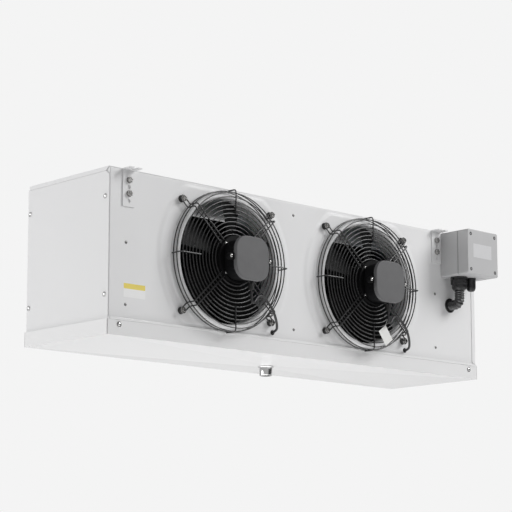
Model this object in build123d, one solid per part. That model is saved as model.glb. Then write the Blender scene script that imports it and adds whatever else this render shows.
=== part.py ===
from build123d import *
import os
from math import cos, pi, radians, sin, tan

os.makedirs("parts", exist_ok=True)

# Frame: X along the cabinet (right seen from the front), Y to the back, Z up.
# The origin lies on the ceiling plane over the middle of the cabinet.

# ---- driving dimensions, millimetres -------------------------------------
LENGTH, DEPTH = 1310.0, 316.0
SHEET = 1.5
END = LENGTH / 2
FRONT, REAR = -DEPTH / 2, DEPTH / 2
SKIN_BACK = FRONT + SHEET
CASING_FOOT = -383.0
STRIP = 10.0
FLANGE_FOOT = -371.0

FAN_X = (-287.0, 204.0)
FAN_Z = -185.0
THROAT_R, NOZZLE_BASE_R = 156.0, 170.0
NOZZLE_INNER_END = -32.0
EMBOSS_R, EMBOSS_TOP_R, EMBOSS_H = 218.0, 212.0, 3.0
EMBOSS_ABOVE, EMBOSS_BELOW = 178.0, 171.0

GUARD_WIRE, SPOKE_WIRE = 3.0, 3.5
GUARD_DEPTH = 36.0
GUARD_R, GUARD_PITCH, GUARD_RINGS = 168.0, 10.4, 11
SIDE_RING_R = 174.0
SIDE_RING_DEPTHS = (19.0, 7.0)
FOOT_R = 201.0
FOOT_DEPTH = 11.75
DIAGONALS = (43, 137, 223, 317)

MOTOR_Z_SHIFT = -4.0
HOUSING_W, LID_W, LID_CORNER = 98.0, 108.0, 36.0
EAR_SPAN, EAR_SCREW_X = 140.0, 64.0
ROTOR_R, ROTOR_FRONT, ROTOR_BACK = 52.0, 34.0, -28.0
BLADE_TIP_R = 152.0
BLADES = 5

WEB_LEFT, WEB_RIGHT = -578.5, 474.5
BAFFLE_X = -62.0
COIL_FRONT, COIL_REAR = 48.75, 146.25
COIL_TOP, COIL_FOOT = -27.5, -327.5
TUBE_R, TUBE_PITCH_Z, TUBE_PITCH_Y = 6.0, 37.5, 32.5
TUBE_ROWS, TUBES_HIGH = 3, 8
FIN_COUNT, FIN_T, FIN_SLOT_DEPTH = 60, 2.0, 92.0

PAN_X, PAN_Y = 658.0, 161.0
PAN_FOOT, PAN_DROP = -400.0, 5.0
PAN_SIDE_TOP, PAN_LIP_TOP = -363.0, -358.0
PAN_SCREW_X, PAN_SCREW_Z = 623.0, -374.5
HINGE_X = (-615.0, 615.0)
HINGE_Y, HINGE_Z = 166.0, -360.0
HINGE_KNUCKLE_R, HINGE_PIN_R = 4.0, 2.0

HANGER_X = (-597.0, 496.0)
HANGER_W, HANGER_T, HANGER_LEG, HANGER_STRAP = 36.0, 3.0, 30.0, 91.0
HANGER_BOLT_Z, HANGER_SPARE_Z = (-27.0, -59.5), (-44.0, -77.0)
REAR_FLANGE_FACE = 156.5

RIVETS = ((-602, -177), (-602, -325), (-52, -34), (-52, -330), (490, -177), (490, -325))
COVER_SCREW_Z = (-71.0, -305.0)
COVER_SCREW_FLANGED_Y, COVER_SCREW_PLAIN_Y = -150.0, 145.0

BOX_X, BOX_Z, BOX_W, BOX_H = 577.75, -66.0, 126.5, 124.0
BOX_BASE_D, SEAL_T, LID_D = 62.0, 2.0, 36.0
CONDUIT_X, CONDUIT_Z = 551.0, -203.0
CONDUIT_GLAND_Y = -194.0
SUPPLY_GLAND_X, SUPPLY_GLAND_Y = 590.0, -203.0
CONDUIT_R = 14.0
LEAD_R = 3.25
LEAD_ENTRY = 160.0
LEAD_RUN_Y = (-120.0, -140.0)
LEAD_NOTCH = (-155.0, -112.0, -356.0, -338.0)
MOTOR_GLAND = (30.0, -64.0, 62.0)

SUCTION_X, SUCTION_Y, SUCTION_R, SUCTION_Z = 540.0, 130.0, 14.0, -120.0
LIQUID_X, LIQUID_Y, LIQUID_Z = 600.0, 95.0, -215.0
PIPE_COLLAR, PIPE_END = 160.0, 172.0

parts = {}


# ---- helpers --------------------------------------------------------------
def block(x0, x1, y0, y1, z0, z1):
    """Box between two corners."""
    centre = Pos((x0 + x1) / 2, (y0 + y1) / 2, (z0 + z1) / 2)
    return centre * Box(abs(x1 - x0), abs(y1 - y0), abs(z1 - z0))


def folded(points, thickness, side):
    """Section of a folded sheet: its inner line thickened to one side."""
    return make_face(offset(Polyline(*points), thickness, side=side, kind=Kind.ARC, closed=True))


def prism(plane, radius, start, end, sides=12, turn=0.0):
    """Short bar with flats across 2 x radius, along the plane's normal."""
    face = plane.offset(start) * RegularPolygon(radius, sides, major_radius=False, rotation=turn)
    return extrude(face, amount=end - start)


def facing(x, y, z, direction):
    """Plane at a point looking along a direction."""
    return Plane(origin=(x, y, z), z_dir=direction)


def group(shapes):
    """Several separate solids kept under one name."""
    return Compound(children=[solid for shape in shapes for solid in shape.solids()])


def turned_round(shape):
    """The same part turned half a turn about the vertical through the origin."""
    return Rot(0, 0, 180) * shape


def soft_rectangle(width, height, corner, flats=3):
    """Rectangle with each corner rounded in a few flats."""
    points = []
    for quarter, (along, up) in enumerate(((1, 1), (-1, 1), (-1, -1), (1, -1))):
        for step in range(flats + 1):
            angle = radians(90 * (quarter + step / flats))
            points.append((along * (width / 2 - corner) + corner * cos(angle),
                           up * (height / 2 - corner) + corner * sin(angle)))
    return make_face(Polyline(*points, close=True))


def swept_bar(points, width, sides=4):
    """Bar of constant section along a line with mitred corners."""
    path = Polyline(*points)
    start = Plane(origin=path @ 0, z_dir=path % 0)
    section = start * RegularPolygon(width / 2, sides, major_radius=False, rotation=180 / sides)
    return sweep(section, path=path, transition=Transition.RIGHT)


def bend_radii(points, most=40.0):
    """Largest even bend radius that each corner of a route has room for."""
    radii = []
    for before, corner, after in zip(points, points[1:], points[2:]):
        run_in, run_out = Vector(corner) - Vector(before), Vector(after) - Vector(corner)
        half_turn = radians(run_in.get_angle(run_out)) / 2
        shorter = min(run_in.length, run_out.length)
        radii.append(min(most, 0.45 * shorter / tan(half_turn)))
    return radii


def swept_tube(points, radius, sides=6):
    """Tube of straight runs joined by tangent bends."""
    radii = bend_radii(points)
    path = FilletPolyline(*points, radius=radii)
    start = Plane(origin=path @ 0, z_dir=path % 0)
    tube = sweep(start * RegularPolygon(radius, sides), path=path)
    area = 0.5 * sides * radius ** 2 * sin(2 * pi / sides)
    print("route", round(path.length, 1), "radii", [round(r, 1) for r in radii],
          "volume ratio", round(tube.volume / (area * path.length), 4))
    return tube


# ---- cabinet --------------------------------------------------------------
def rivet_pegs(radius, start, end, sides=8):
    """One peg per rivet, running from start to end behind the front face."""
    return [prism(facing(x, FRONT, z, (0, 1, 0)), radius, start, end, sides) for x, z in RIVETS]


def hanger_pegs(radius, heights, start, end, sides=8):
    """Pegs through the front hangers and through the rear ones."""
    pegs = []
    for x in HANGER_X:
        for z in heights:
            pegs.append(prism(facing(x, FRONT, z, (0, 1, 0)), radius, start, end, sides))
            pegs.append(prism(facing(x, REAR_FLANGE_FACE, z, (0, -1, 0)), radius, start, end, sides))
    return pegs


def cover_pegs(radius, start, end, sides=8):
    """Pegs into both end covers at their four screws each, depths from the face."""
    right = [
        prism(facing(END, y, z, (-1, 0, 0)), radius, start, end, sides)
        for y in (COVER_SCREW_FLANGED_Y, COVER_SCREW_PLAIN_Y) for z in COVER_SCREW_Z
    ]
    return right + [turned_round(peg) for peg in right]


def nozzle_section(x):
    """Face of the drawn fan nozzle, turned about the fan axis into the sheet."""
    outer = [(NOZZLE_BASE_R, SHEET), (167, 11), (162.5, 15),
             (THROAT_R, 10), (THROAT_R, NOZZLE_INNER_END)]
    inner = [(THROAT_R + SHEET, NOZZLE_INNER_END), (THROAT_R + SHEET, 9.3),
             (162.2, 13), (165.6, 10), (NOZZLE_BASE_R - SHEET, SHEET)]
    section = Plane(origin=(x, FRONT, FAN_Z), x_dir=(1, 0, 0), z_dir=(0, 0, 1))
    points = [(radius, -depth) for radius, depth in outer + inner]
    return section * make_face(Polyline(*points, close=True))


def emboss(x, grow, lift):
    """Raised round panel about a fan, cut off level above and below."""
    fan = Plane(origin=(x, FRONT, FAN_Z), x_dir=(1, 0, 0), z_dir=(0, -1, 0))
    dome = fan.offset(lift - EMBOSS_H).location * Cone(
        EMBOSS_R + grow, EMBOSS_TOP_R + grow, EMBOSS_H,
        align=(Align.CENTER, Align.CENTER, Align.MIN))
    side = Plane(origin=(x, FRONT, FAN_Z), x_dir=(0, -1, 0), z_dir=(-1, 0, 0))
    above, below, slope = EMBOSS_ABOVE + grow, EMBOSS_BELOW + grow, 2 * EMBOSS_H
    band = side * make_face(Polyline((lift - EMBOSS_H, -below), (lift, slope - below),
                                     (lift, above - slope), (lift - EMBOSS_H, above), close=True))
    return dome & extrude(band, amount=EMBOSS_R * 2, both=True)


def casing():
    """Front and top in one folded sheet, with end strips, flanges and nozzles."""
    line = [(153.5, -15), (153.5, -SHEET), (SKIN_BACK, -SHEET), (SKIN_BACK, CASING_FOOT)]
    section = Plane.YZ * folded(line, SHEET, Side.RIGHT)
    shell = extrude(section, amount=END - SHEET, both=True)
    strip = make_face(Polyline((FRONT + 12, -STRIP), (155, -STRIP), (155, 0),
                               (SKIN_BACK, 0), close=True))
    for side in (-1, 1):
        plane = Plane.YZ.offset(side * END)
        shell += extrude(plane * strip, amount=-side * SHEET)
        shell += block(side * (END - 2 * SHEET), side * (END - SHEET), SKIN_BACK, -133,
                       -SHEET, FLANGE_FOOT)
        slot = block(side * PAN_SCREW_X - 3.25, side * PAN_SCREW_X + 3.25, FRONT - 1, SKIN_BACK + 1,
                     CASING_FOOT - 1, PAN_SCREW_Z + 3.25)
        shell -= slot
    for x in FAN_X:
        axis = Axis((x, FRONT, FAN_Z), (0, 1, 0))
        shell -= emboss(x, -SHEET, EMBOSS_H - SHEET)
        fan = Plane(origin=(x, FRONT, FAN_Z), x_dir=(1, 0, 0), z_dir=(0, -1, 0))
        raised = emboss(x, 0, EMBOSS_H) - emboss(x, -SHEET, EMBOSS_H - SHEET)
        shell += raised
        shell -= extrude(fan.offset(-2 * SHEET) * Circle(NOZZLE_BASE_R), amount=EMBOSS_H + 4 * SHEET)
        shell += revolve(nozzle_section(x), axis)
        for angle in DIAGONALS:
            shell -= prism(facing(x + FOOT_R * cos(radians(angle)), FRONT,
                                  FAN_Z + FOOT_R * sin(radians(angle)), (0, -1, 0)), 3.7, -3, 4, 6)
        shell -= prism(facing(x + LEAD_ENTRY, FRONT, FAN_Z - LEAD_ENTRY, (0, 1, 0)), 5.2, -4, 4, 12)
    for peg in rivet_pegs(2.1, -1, 3, 6) + hanger_pegs(4.6, HANGER_BOLT_Z, -1, 3)[::2]:
        shell -= peg
    for peg in cover_pegs(2.2, -1, 4, 6):
        shell -= peg
    shell -= prism(facing(CONDUIT_X, FRONT, CONDUIT_Z, (0, 1, 0)), 17.3, -4, 4, 16)
    return shell


def right_end_cover():
    """End cover wrapping one corner; the left one is the same part turned round."""
    line = [(641, FRONT), (END - SHEET, FRONT), (END - SHEET, REAR)]
    cover = Pos(0, 0, -372) * extrude(folded(line, SHEET, Side.RIGHT), amount=372 - STRIP - 0.5)
    plane = Plane.YZ.offset(END - 5)
    rear_notch = make_face(Polyline((146, -STRIP), (160, -STRIP), (160, -22), (158, -20), close=True))
    cover -= extrude(plane * rear_notch, amount=10)
    cover -= block(640, 660, FRONT - 3, FRONT, -373, -357)
    corner = Plane.XZ.offset(-FRONT) * make_face(Polyline((640, -358), (646, -357), (641, -352),
                                                          (640, -352), close=True))
    cover -= extrude(corner, amount=3)
    for y in (COVER_SCREW_FLANGED_Y, COVER_SCREW_PLAIN_Y):
        for z in COVER_SCREW_Z:
            cover -= prism(facing(END, y, z, (-1, 0, 0)), 2.2, -1, 3, 6)
    return cover


def tube_sheet(line, side):
    """Coil end plate with flanges to the front, the rear and the end cover."""
    plate = Pos(0, 0, FLANGE_FOOT) * extrude(folded(line, SHEET, side), amount=-FLANGE_FOOT - SHEET)
    plate -= block(WEB_RIGHT - 5, WEB_RIGHT + 10, *LEAD_NOTCH)
    plate -= block(-END, END, REAR_FLANGE_FACE - 2 * SHEET, REAR_FLANGE_FACE - SHEET, -15, 0)
    for peg in rivet_pegs(2.1, -1, 4, 6) + hanger_pegs(4.6, HANGER_BOLT_Z, -1, 5):
        plate -= peg
    for peg in cover_pegs(2.2, -1, 4, 6):
        plate -= peg
    return plate


def cabinet():
    """Sheet-metal cabinet around the coil."""
    inner = SKIN_BACK + SHEET
    back = REAR_FLANGE_FACE - SHEET
    fold = END - 2 * SHEET
    parts["casing"] = casing()
    parts["right_end_cover"] = right_end_cover()
    parts["left_end_cover"] = turned_round(parts["right_end_cover"])
    left = [(-618, inner), (WEB_LEFT - SHEET, inner), (WEB_LEFT - SHEET, back),
            (-fold, back), (-fold, 132)]
    right = [(518, inner), (WEB_RIGHT + SHEET, inner), (WEB_RIGHT + SHEET, back),
             (fold, back), (fold, 132)]
    parts["left_tube_sheet"] = tube_sheet(left, Side.RIGHT)
    sheet = tube_sheet(right, Side.LEFT)
    sheet -= prism(facing(SUCTION_X, 150, SUCTION_Z, (0, 1, 0)), 15, 0, 10, 16)
    sheet -= prism(facing(LIQUID_X, 150, LIQUID_Z, (0, 1, 0)), 10, 0, 10, 12)
    parts["right_tube_sheet"] = sheet
    line = [(-42, inner), (BAFFLE_X + SHEET, inner), (BAFFLE_X + SHEET, COIL_FRONT)]
    baffle = Pos(0, 0, FLANGE_FOOT) * extrude(folded(line, SHEET, Side.LEFT),
                                              amount=-FLANGE_FOOT - SHEET)
    baffle -= block(BAFFLE_X - 5, BAFFLE_X + 10, *LEAD_NOTCH)
    for peg in rivet_pegs(2.1, -1, 4, 6):
        baffle -= peg
    parts["centre_baffle"] = baffle
    rivets = zip(rivet_pegs(4, -1.6, 0, 8), rivet_pegs(2, 0, 2 * SHEET + 2, 6))
    parts["panel_rivets"] = group([head + shank for head, shank in rivets])
    screws = [washer + head + shank for washer, head, shank in
              zip(cover_pegs(6.5, -1.2, 0, 8), cover_pegs(4.5, -3.2, -1.2, 6),
                  cover_pegs(2, 0, 5, 6))]
    parts["cover_screws"] = group(screws)


def hangers():
    """Four ceiling brackets with their bolts."""
    line = [(FRONT - HANGER_T, -HANGER_STRAP), (FRONT - HANGER_T, -HANGER_T),
            (FRONT - HANGER_LEG, -HANGER_T)]
    section = Plane.YZ * folded(line, HANGER_T, Side.RIGHT)
    tip = FRONT - HANGER_LEG
    holes = hanger_pegs(4.6, HANGER_BOLT_Z + HANGER_SPARE_Z, -5, 1)[::2]
    for name, x in zip(("left", "right"), HANGER_X):
        bracket = Pos(x, 0, 0) * extrude(section, amount=HANGER_W / 2, both=True)
        bracket -= block(x - 5.5, x + 5.5, tip - 1, tip + 12.5, -5, 1)
        bracket -= prism(facing(x, tip + 12.5, -5, (0, 0, 1)), 5.5, 0, 8, 16)
        for hole in holes:
            bracket -= hole
        parts["hanger_front_" + name] = bracket
        rear = mirror(bracket, Plane.XZ)
        parts["hanger_rear_" + name] = Pos(0, REAR_FLANGE_FACE + FRONT, 0) * rear
    bolts = [washer + head + shank for washer, head, shank in zip(
        hanger_pegs(8, HANGER_BOLT_Z, -HANGER_T - 1.6, -HANGER_T),
        hanger_pegs(6.5, HANGER_BOLT_Z, -HANGER_T - 6.9, -HANGER_T - 1.6, 6),
        hanger_pegs(4, HANGER_BOLT_Z, -HANGER_T, 7, 6))]
    parts["hanger_bolts"] = group(bolts)


# ---- coil -----------------------------------------------------------------
def tube_at(row, level):
    """Centre of a coil tube in the Y-Z plane; row 0 is nearest the fans."""
    y = COIL_FRONT + TUBE_PITCH_Y * (row + 0.5)
    z = COIL_TOP - TUBE_PITCH_Z * (level + 0.5)
    return y, z


def return_bend(x, outward, start, end):
    """Return bend joining two neighbouring tubes outside an end plate."""
    (y0, z0), (y1, z1) = start, end
    far = x + outward * 18
    return swept_bar([(x, y0, z0), (far, y0, z0), (far, y1, z1), (x, y1, z1)], 2 * TUBE_R, 6)


def pipe_end(x, z, radius):
    """Open round end of a pipe behind the cabinet."""
    end = Plane(origin=(x, PIPE_COLLAR, z), z_dir=(0, 1, 0))
    return extrude(end * (Circle(radius) - Circle(radius - 1)), amount=PIPE_END - PIPE_COLLAR)


def pipe_grommet(x, z, flange, neck, bore):
    """Rubber grommet where a pipe passes the rear flange, given its three radii."""
    hole = facing(x, REAR_FLANGE_FACE, z, (0, 1, 0))
    return prism(hole, flange, 0, 2, 16) + prism(hole, neck, -3, 0, 16) - prism(hole, bore, -5, 5, 16)


def coil():
    """Finned block, return bends, suction header and liquid distributor."""
    x0, x1 = WEB_LEFT, WEB_RIGHT
    pitch = (x1 - x0) / FIN_COUNT
    outline = [(x0, COIL_FRONT), (x0, COIL_REAR)]
    for i in range(FIN_COUNT - 1):
        edge = x0 + i * pitch + FIN_T
        next_edge = x0 + (i + 1) * pitch
        outline += [(edge, COIL_REAR), (edge, COIL_REAR - FIN_SLOT_DEPTH),
                    (next_edge, COIL_REAR - FIN_SLOT_DEPTH), (next_edge, COIL_REAR)]
    outline += [(x1, COIL_REAR), (x1, COIL_FRONT)]
    block_face = make_face(Polyline(*outline, close=True))
    parts["fin_pack"] = Pos(0, 0, COIL_FOOT) * extrude(block_face, amount=COIL_TOP - COIL_FOOT)

    left, right = WEB_LEFT - SHEET, WEB_RIGHT + SHEET
    pairs = TUBES_HIGH // 2
    parts["return_bends_left"] = group([
        return_bend(left, -1, tube_at(row, 2 * pair), tube_at(row, 2 * pair + 1))
        for row in range(TUBE_ROWS) for pair in range(pairs)])
    crossings = [(0, 1, 1), (1, 2, 0)]
    parts["return_bends_right"] = group([
        return_bend(right, 1, tube_at(a, 2 * pair + odd), tube_at(b, 2 * pair + odd))
        for a, b, odd in crossings for pair in range(pairs)])

    header = prism(facing(SUCTION_X, SUCTION_Y, -330, (0, 0, 1)), SUCTION_R, 0, 270, 16)
    for pair in range(pairs):
        y, z = tube_at(TUBE_ROWS - 1, 2 * pair + 1)
        header += prism(facing(right, y, z, (1, 0, 0)), TUBE_R, 0, SUCTION_X - right, 8)
    header += prism(facing(SUCTION_X, 0, SUCTION_Z, (0, 1, 0)), 10.5, SUCTION_Y, PIPE_COLLAR, 16)
    header += pipe_end(SUCTION_X, SUCTION_Z, 11)
    parts["suction_header"] = header

    body = prism(facing(LIQUID_X, LIQUID_Y, -200, (0, 0, 1)), 12, 0, 30, 16)
    body += swept_bar([(LIQUID_X, LIQUID_Y, -199), (LIQUID_X, LIQUID_Y, LIQUID_Z),
                       (LIQUID_X, 140, LIQUID_Z)], 12, 8)
    body += prism(facing(LIQUID_X, 0, LIQUID_Z, (0, 1, 0)), 5.5, 140, PIPE_COLLAR, 12)
    body += pipe_end(LIQUID_X, LIQUID_Z, 6)
    for pair in range(pairs):
        y, z = tube_at(0, 2 * pair)
        x = LIQUID_X - 6 + 4 * pair
        top = -150 + 10 * pair
        mouth = LIQUID_Y - 6 + 4 * pair
        body += swept_bar([(x, mouth, -171), (x, mouth, top), (x - 30 - 8 * pair, y - 8 * pair, top),
                           (right + 34, y, z), (right, y, z)], 5, 4)
    parts["liquid_distributor"] = body
    parts["pipe_grommets"] = group([pipe_grommet(SUCTION_X, SUCTION_Z, 18, 14.8, 11.3),
                                    pipe_grommet(LIQUID_X, LIQUID_Z, 12.5, 9.8, 6.3)])


# ---- fans -----------------------------------------------------------------
def ring_bar(radius, depth, sides):
    """Guard ring of square wire about the local Z axis, flats facing the spokes."""
    half = GUARD_WIRE / 2
    turn = 180 / sides
    face = (RegularPolygon(radius + half, sides, major_radius=False, rotation=turn)
            - RegularPolygon(radius - half, sides, major_radius=False, rotation=turn))
    return Pos(0, 0, depth - half) * extrude(face, amount=GUARD_WIRE)


def guard():
    """Welded wire fan guard in fan coordinates: rings, cross wires and feet."""
    wires = [ring_bar(GUARD_R - i * GUARD_PITCH, GUARD_DEPTH, 16 if i < 6 else 10)
             for i in range(GUARD_RINGS)]
    wires += [ring_bar(SIDE_RING_R, depth, 20) for depth in SIDE_RING_DEPTHS]
    top = GUARD_DEPTH + (GUARD_WIRE + SPOKE_WIRE) / 2
    outside = SIDE_RING_R + (GUARD_WIRE + SPOKE_WIRE) / 2
    short = [(114, 0, top), (171, 0, top), (outside, 0, 34), (outside, 0, 5.5)]
    for angle in range(0, 360, 90):
        wires.append(Rot(0, 0, angle) * swept_bar(short, SPOKE_WIRE))
    leg = [(50, 6, top), (171, 6, top), (outside, 6, 34), (outside, 6, 16),
           (outside + 6, 6, FOOT_DEPTH), (FOOT_R + 2, 6, FOOT_DEPTH), (FOOT_R + 7, 2.5, FOOT_DEPTH)]
    loop = leg + [(r, -s, d) for r, s, d in reversed(leg)]
    for angle in DIAGONALS:
        wires.append(Rot(0, 0, angle) * swept_bar(loop, SPOKE_WIRE))
    return group(wires)


def foot_pegs(radius, start, end, sides):
    """One peg per guard foot, in fan coordinates."""
    return [prism(Plane(origin=(FOOT_R * cos(radians(a)), FOOT_R * sin(radians(a)), 0)),
                  radius, start, end, sides) for a in DIAGONALS]


def guard_fixings():
    """Rubber bushes under the guard feet, and the bolts with their washers."""
    low = FOOT_DEPTH - SPOKE_WIRE / 2
    high = FOOT_DEPTH + SPOKE_WIRE / 2
    bushes = [wide - bore for wide, bore in zip(foot_pegs(9, EMBOSS_H, low, 10),
                                                foot_pegs(3.5, 0, low + 1, 6))]
    bolts = [washer + head + shank for washer, head, shank in zip(
        foot_pegs(8, high, high + 1.6, 10), foot_pegs(5, high + 1.6, high + 5.6, 6),
        foot_pegs(3, -3, high, 6))]
    return group(bushes), group(bolts)


def rounded_square(width, corner):
    """Square with rounded corners, centred below the fan axis."""
    return Pos(0, MOTOR_Z_SHIFT) * soft_rectangle(width, width, corner, 4)


def disc(radius, start, end, sides=28):
    """Round plate in fan coordinates, drawn with flats."""
    return prism(Plane.XY, radius, start, end, sides)


def motor():
    """Motor with round flange, housing and bearing bore for the rotor shaft."""
    seat = GUARD_DEPTH + GUARD_WIRE / 2 + SPOKE_WIRE
    body = disc(59.5, seat, seat + 5) + disc(42, seat + 5, 52, 20)
    body += Pos(0, 0, 52) * extrude(rounded_square(HOUSING_W, LID_CORNER - 4), amount=89 - 52)
    ears = Pos(0, MOTOR_Z_SHIFT, 80) * extrude(soft_rectangle(EAR_SPAN, 16, 6), amount=9)
    return body + ears - Pos(0, 0, seat - 1) * extrude(Circle(6.05), amount=32)


def motor_lid():
    """Flat lid on the motor with two screw ears."""
    edge = rounded_square(LID_W, LID_CORNER)
    lid = Pos(0, 0, 89) * extrude(edge, amount=10)
    lid += Pos(0, 0, 99) * loft([edge, Pos(0, 0, 2) * rounded_square(LID_W - 4, LID_CORNER - 2)],
                                ruled=True)
    return lid + Pos(0, MOTOR_Z_SHIFT, 89) * extrude(soft_rectangle(EAR_SPAN, 16, 6), amount=4)


def rotor():
    """External rotor with its shaft, running in the motor's bearing."""
    can = disc(ROTOR_R, ROTOR_BACK, ROTOR_FRONT)
    return can + Pos(0, 0, ROTOR_FRONT) * extrude(Circle(6), amount=32)


def blade_section(radius, chord, pitch_angle, sweep_shift):
    """Thin cambered blade section on a plane square to the radius."""
    plane = Plane(origin=(radius, 0, 0), x_dir=(0, 1, 0), z_dir=(1, 0, 0))
    half = chord / 2
    outline = Polyline((-half, 0), (-half * 0.2, 4), (half, 0), (-half * 0.2, 6.5), close=True)
    return plane * (Pos(sweep_shift, 0) * Rot(0, 0, pitch_angle) * make_face(outline))


def impeller():
    """Sickle-bladed impeller whose hub ring sits over the rotor."""
    sections = [blade_section(45, 70, 38, -6), blade_section(95, 88, 29, 2),
                blade_section(158, 104, 21, 26)]
    blade = Pos(0, 0, -10) * loft(sections, ruled=True)
    sleeve = Cylinder(BLADE_TIP_R, 90) - Cylinder(55, 100)
    blade = blade & sleeve
    hub = disc(56, ROTOR_BACK - 3, 14) - disc(ROTOR_R + 0.3, ROTOR_BACK, 15)
    hub -= disc(20, ROTOR_BACK - 4, ROTOR_BACK + 1, 12)
    for i in range(BLADES):
        hub += Rot(0, 0, 360 * i / BLADES) * blade
    return hub


LEAD_ROUTE = [MOTOR_GLAND, (30, -99, 62), (42, -107, 58), (64, -83, 50), (88, -82, 46),
              (120.5, -112.5, 45), (150, -140, 28), (LEAD_ENTRY, -LEAD_ENTRY, 16)]


def fan_lead(x, run_y, riser_x):
    """Motor lead from its gland over the guard into the cabinet and the conduit."""
    outside = [(x + a, FRONT - depth, FAN_Z + b) for a, b, depth in LEAD_ROUTE]
    entry_x, entry_z = x + LEAD_ENTRY, FAN_Z - LEAD_ENTRY
    inside = [(entry_x, run_y, entry_z), (riser_x, run_y, entry_z), (riser_x, run_y, CONDUIT_Z),
              (riser_x, -154, CONDUIT_Z)]
    return swept_tube(outside + inside, LEAD_R, 4)


def fans():
    """Two identical fans with guards, motors and leads."""
    bushes, bolts = guard_fixings()
    lid_screws = [prism(Plane(origin=(side * EAR_SCREW_X, MOTOR_Z_SHIFT, 0)), 4.5, 93, 96, 8)
                  for side in (-1, 1)]
    clamp = [prism(Plane(origin=(53 * cos(radians(a)), 53 * sin(radians(a)), 0)), 3.5, 46, 48.5, 8)
             for a in DIAGONALS]
    mouth = facing(*MOTOR_GLAND, (0, -1, 0))
    gland = prism(mouth, 8, -8, 0, 6) + prism(mouth, 7, 0, 10, 12) - prism(mouth, 3.5, -1, 20, 12)
    entry = Plane(origin=(LEAD_ENTRY, -LEAD_ENTRY, 0))
    grommet = prism(entry, 6.5, 0, 2) + prism(entry, 5.0, -SHEET, 0) - prism(entry, 3.5, -4, 4)
    places = [Plane(origin=(x, FRONT, FAN_Z), x_dir=(1, 0, 0), z_dir=(0, -1, 0)).location
              for x in FAN_X]
    pieces = {"guard": guard(), "motor": motor(), "motor_lid": motor_lid(), "rotor": rotor(),
              "impeller": impeller()}
    for number, place in enumerate(places, start=1):
        for name, piece in pieces.items():
            parts[f"fan_{number}_{name}"] = place * piece
    small = {"guard_bushes": bushes, "guard_bolts": bolts, "lead_glands": gland,
             "motor_screws": group(lid_screws + clamp), "lead_grommets": grommet}
    for name, piece in small.items():
        parts[name] = group([place * piece for place in places])
    parts["fan_1_lead"] = fan_lead(FAN_X[0], LEAD_RUN_Y[0], CONDUIT_X - 5)
    parts["fan_2_lead"] = fan_lead(FAN_X[1], LEAD_RUN_Y[1], CONDUIT_X + 5)


# ---- junction box ---------------------------------------------------------
def box_outline(shrink, corner):
    """Rounded outline of the junction box in the front plane."""
    return soft_rectangle(BOX_W - 2 * shrink, BOX_H - 2 * shrink, corner)


def junction_box():
    """Terminal box on the front with lid, seal, glands and conduit."""
    front = Plane(origin=(BOX_X, FRONT, BOX_Z), x_dir=(1, 0, 0), z_dir=(0, -1, 0))
    base = extrude(front * box_outline(0, 6), amount=BOX_BASE_D)
    base -= extrude(front.offset(3) * box_outline(3, 4), amount=BOX_BASE_D)
    base -= prism(facing(CONDUIT_X, CONDUIT_GLAND_Y, -135, (0, 0, 1)), 19.3, 0, 12, 16)
    base -= prism(facing(SUPPLY_GLAND_X, SUPPLY_GLAND_Y, -135, (0, 0, 1)), 10.2, 0, 12, 12)
    parts["junction_box_base"] = base
    seal = extrude(front.offset(BOX_BASE_D) * (box_outline(0.5, 6) - box_outline(3, 4)), amount=SEAL_T)
    parts["junction_box_seal"] = seal
    start = BOX_BASE_D + SEAL_T
    lid = extrude(front.offset(start) * box_outline(0, 6), amount=LID_D - 2)
    lid += loft([front.offset(start + LID_D - 2) * box_outline(0, 6),
                 front.offset(start + LID_D) * box_outline(2, 5)], ruled=True)
    lid -= extrude(front.offset(start - 1) * box_outline(3, 4), amount=LID_D - 6)
    face = start + LID_D
    corners = [(a * 50, b * 49) for a in (-1, 1) for b in (-1, 1)]
    spots = [Plane(origin=front.from_local_coords((a, b, 0)), z_dir=(0, -1, 0)) for a, b in corners]
    for spot in spots:
        lid -= prism(spot, 5.5, face - 4, face + 1, 12)
    parts["junction_box_lid"] = lid
    parts["box_lid_screws"] = group([prism(spot, 4.5, face - 4, face - 1, 8) for spot in spots])
    rail = extrude(front.offset(3) * Rectangle(70, 12), amount=7)
    for i in range(6):
        rail += extrude(front.offset(10) * (Pos(-29 + 11.6 * i, 0) * Rectangle(9.6, 30)), amount=26)
    parts["terminal_block"] = rail

    down = facing(CONDUIT_X, CONDUIT_GLAND_Y, BOX_Z - BOX_H / 2, (0, 0, -1))
    gland = prism(down, 24, 0, 6, 16) + prism(down, 22, 6, 22, 6) + prism(down, 19, 22, 36, 16)
    gland += prism(down, 19, -6, 0, 16)
    parts["conduit_gland"] = gland - prism(down, CONDUIT_R + 0.3, -10, 40, 12)
    down = facing(SUPPLY_GLAND_X, SUPPLY_GLAND_Y, BOX_Z - BOX_H / 2, (0, 0, -1))
    small = prism(down, 14, 0, 5, 6) + prism(down, 13, 5, 27, 16) + prism(down, 9.5, 27, 36, 16)
    small += prism(down, 10, -6, 0, 12)
    bore = Plane(origin=(SUPPLY_GLAND_X, SUPPLY_GLAND_Y, -100), z_dir=(0, 0, -1))
    parts["supply_gland"] = small - extrude(bore * Circle(6), amount=80)
    route = [(CONDUIT_X, CONDUIT_GLAND_Y, -134), (CONDUIT_X, CONDUIT_GLAND_Y, CONDUIT_Z),
             (CONDUIT_X, -154.3, CONDUIT_Z)]
    parts["conduit"] = swept_tube(route, CONDUIT_R, 10)
    bush = prism(facing(CONDUIT_X, FRONT, CONDUIT_Z, (0, -1, 0)), 20, 0, 3, 16)
    bush += prism(facing(CONDUIT_X, FRONT, CONDUIT_Z, (0, -1, 0)), 17, -3, 0, 16)
    parts["conduit_bush"] = bush - prism(facing(CONDUIT_X, FRONT, CONDUIT_Z, (0, -1, 0)),
                                         CONDUIT_R + 0.3, -5, 5, 16)


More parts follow.
